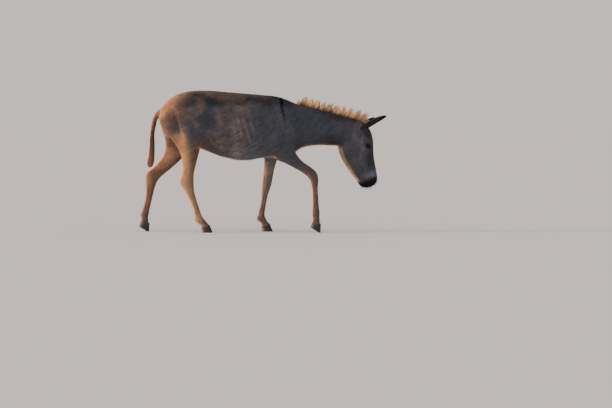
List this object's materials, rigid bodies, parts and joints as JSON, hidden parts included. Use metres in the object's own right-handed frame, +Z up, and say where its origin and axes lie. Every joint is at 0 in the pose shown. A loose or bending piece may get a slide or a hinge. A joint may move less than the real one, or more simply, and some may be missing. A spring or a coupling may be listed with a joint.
{
  "type": "donkey",
  "caption": "Donkey walking with its head low: upright mane, long ears, tufted tail, one hind leg stretched back and one foreleg swung forward.",
  "frame": {"origin": "on the ground, in the middle of the animal's bounding box", "axes": "+X the way the donkey faces, +Y its left side, +Z up"},
  "size_m": [2.0876, 0.4644, 1.1888],
  "materials": {
    "coat": "short flat hair, matt with a faint sheen, grey-brown going paler under the body",
    "ear": "short hair outside with a dark rim and tip, pale longer hair inside",
    "mane": "coarse upright hair, dark at the root and sandy at the tip",
    "tail": "coarse hanging hair, dark brown going rufous at the end",
    "hoof": "dark horn, satin, with fine growth rings",
    "eye": "wet and glossy, dark brown iris"
  },
  "bodies": {
    "root": {"trunk": "coat", "neck": "coat", "head": "coat", "ear_left": "ear", "ear_right": "ear", "eye_left": "eye", "eye_right": "eye", "mane": "mane", "tail": "coat", "tail_switch": "tail", "thigh_left": "coat", "thigh_right": "coat", "hind_cannon_left": "coat", "hind_cannon_right": "coat", "forearm_left": "coat", "forearm_right": "coat", "fore_cannon_left": "coat", "fore_cannon_right": "coat", "hoof_hind_left": "hoof", "hoof_hind_right": "hoof", "hoof_fore_left": "hoof", "hoof_fore_right": "hoof"}
  },
  "joints": []
}
